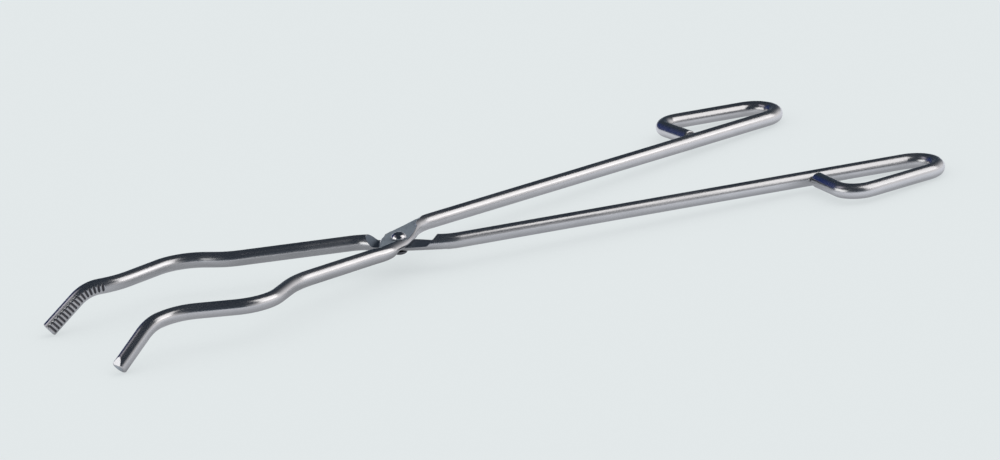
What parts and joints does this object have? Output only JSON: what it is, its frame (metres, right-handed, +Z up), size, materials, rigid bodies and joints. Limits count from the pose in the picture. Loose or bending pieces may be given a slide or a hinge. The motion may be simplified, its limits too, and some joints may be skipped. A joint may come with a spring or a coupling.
{
  "type": "crucible tongs",
  "caption": "Scissor-type crucible tongs of bent round steel rod: bowed jaws with bent-down serrated tips, a riveted lap pivot and long handles ending in finger loops.",
  "frame": {"origin": "middle of the bounding box in plan, on the surface the tongs lie on", "axes": "+X along the tongs from the jaws to the finger loops, +Y to the side of the upper arm's finger loop, +Z up, with the tongs lying on tips and loops"},
  "size_m": [0.29, 0.122, 0.0156],
  "materials": {
    "polished_steel": "polished stainless steel rod",
    "rivet_steel": "polished domed rivet"
  },
  "bodies": {
    "lower_arm_body": {"lower_arm": "polished_steel", "rivet": "rivet_steel"},
    "upper_arm_body": {"upper_arm": "polished_steel"}
  },
  "joints": [
    {"name": "rivet_hinge", "type": "hinge", "parent": "lower_arm_body", "child": "upper_arm_body", "pos_m": [-0.0317, -0.00831, 0.00938], "axis": [0.0395, 0, 0.9992], "range_deg": [-24.5, 33]}
  ]
}
